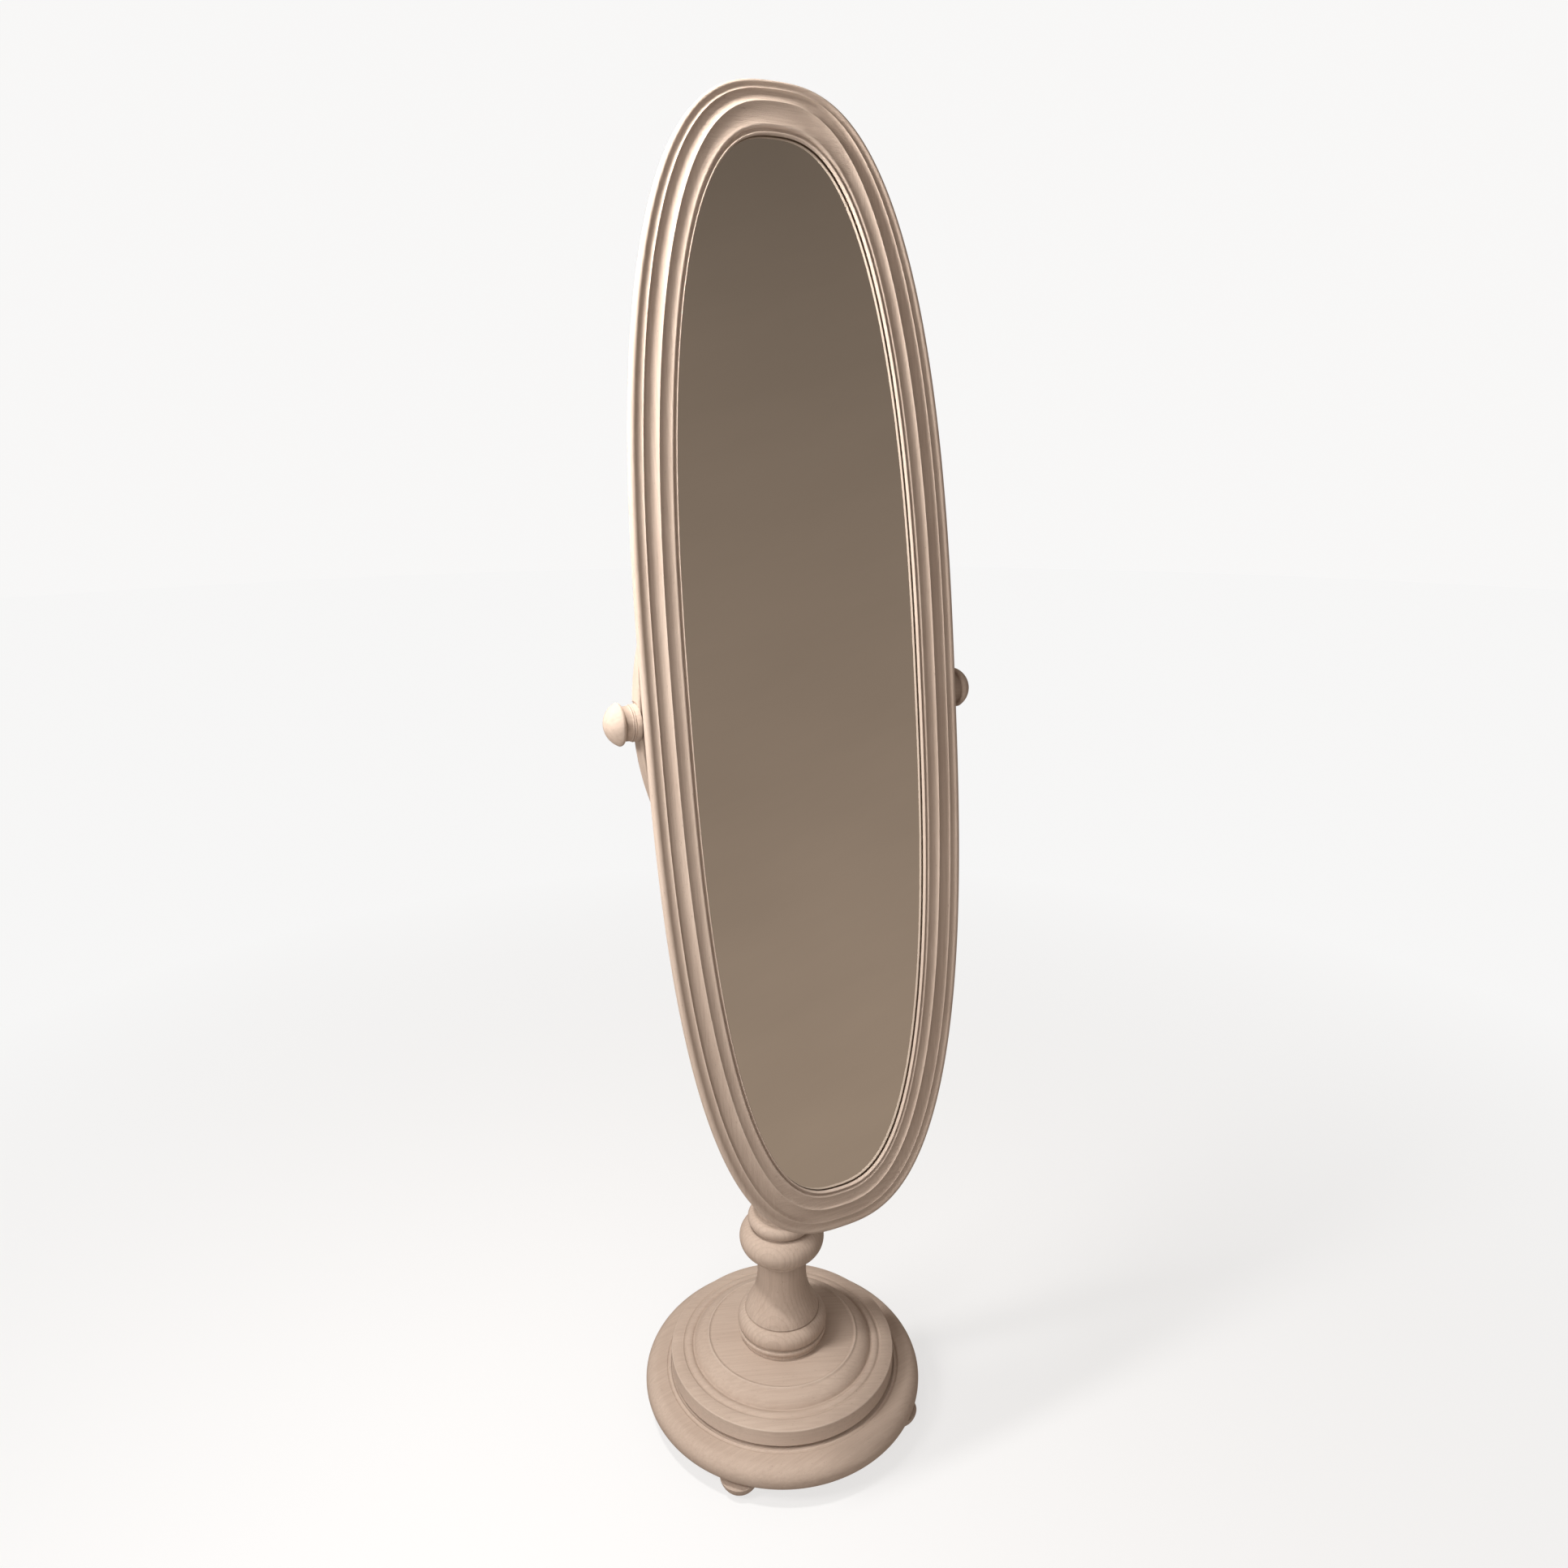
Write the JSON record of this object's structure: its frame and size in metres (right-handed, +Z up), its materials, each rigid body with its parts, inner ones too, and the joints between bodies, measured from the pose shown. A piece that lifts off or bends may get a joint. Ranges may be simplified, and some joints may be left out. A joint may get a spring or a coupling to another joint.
{
  "type": "cheval floor mirror",
  "caption": "Tall oval mirror in a moulded wooden frame that tilts between the arms of a yoke on a turned column with a round stepped base and ball feet.",
  "frame": {"origin": "on the floor under the column's axis", "axes": "+Z up, +X to the right of a person who looks into the mirror, -Y out of the glass"},
  "size_m": [0.4724, 0.4, 1.7132],
  "materials": {
    "painted_wood": "matt chalk paint in pale taupe",
    "mirror": "silvered glass",
    "board": "bare brown hardboard",
    "bare_wood": "bare beech dowel",
    "brass": "satin turned brass",
    "steel": "zinc plated",
    "fibre": "red-brown fibre washer",
    "felt": "dark brown felt"
  },
  "bodies": {
    "stand": {"arm_bush_left": "brass", "arm_bush_right": "brass", "base_disc_lower": "painted_wood", "base_disc_upper": "painted_wood", "base_screws": "steel", "base_spacer_disc": "painted_wood", "column": "painted_wood", "felt_pad_back_left": "felt", "felt_pad_back_right": "felt", "felt_pad_front_left": "felt", "felt_pad_front_right": "felt", "foot_back_left": "painted_wood", "foot_back_right": "painted_wood", "foot_front_left": "painted_wood", "foot_front_right": "painted_wood", "foot_screws": "steel", "knob_collar_left": "painted_wood", "knob_collar_right": "painted_wood", "tie_rod": "steel", "tie_rod_nut": "steel", "tie_rod_washer": "steel", "yoke_arm_left": "painted_wood", "yoke_arm_right": "painted_wood", "yoke_dowels": "bare_wood", "yoke_hub": "painted_wood", "yoke_tenon_peg": "bare_wood"},
    "mirror": {"backing_board": "board", "frame_bottom": "painted_wood", "frame_dowels": "bare_wood", "frame_left": "painted_wood", "frame_right": "painted_wood", "frame_top": "painted_wood", "framers_points": "steel", "friction_washer_left": "fibre", "friction_washer_right": "fibre", "mirror_glass": "mirror", "pivot_block_left": "painted_wood", "pivot_block_right": "painted_wood", "pivot_block_screws": "steel", "pivot_insert_left": "brass", "pivot_insert_right": "brass"},
    "knob_left": {"knob_insert_left": "brass", "knob_left": "painted_wood", "pivot_stud_left": "steel"},
    "knob_right": {"knob_insert_right": "brass", "knob_right": "painted_wood", "pivot_stud_right": "steel"}
  },
  "joints": [
    {"name": "mirror_tilt", "type": "hinge", "parent": "stand", "child": "mirror", "pos_m": [0, -0.051, 1.0515], "axis": [-1, 0, 0], "range_deg": [-11, 5]},
    {"name": "knob_left_turn", "type": "hinge", "parent": "mirror", "child": "knob_left", "pos_m": [-0.22, -0.051, 1.0515], "axis": [-1, 0, 0], "range_deg": [0, 360]},
    {"name": "knob_right_turn", "type": "hinge", "parent": "mirror", "child": "knob_right", "pos_m": [0.22, -0.051, 1.0515], "axis": [1, 0, 0], "range_deg": [0, 360]}
  ]
}
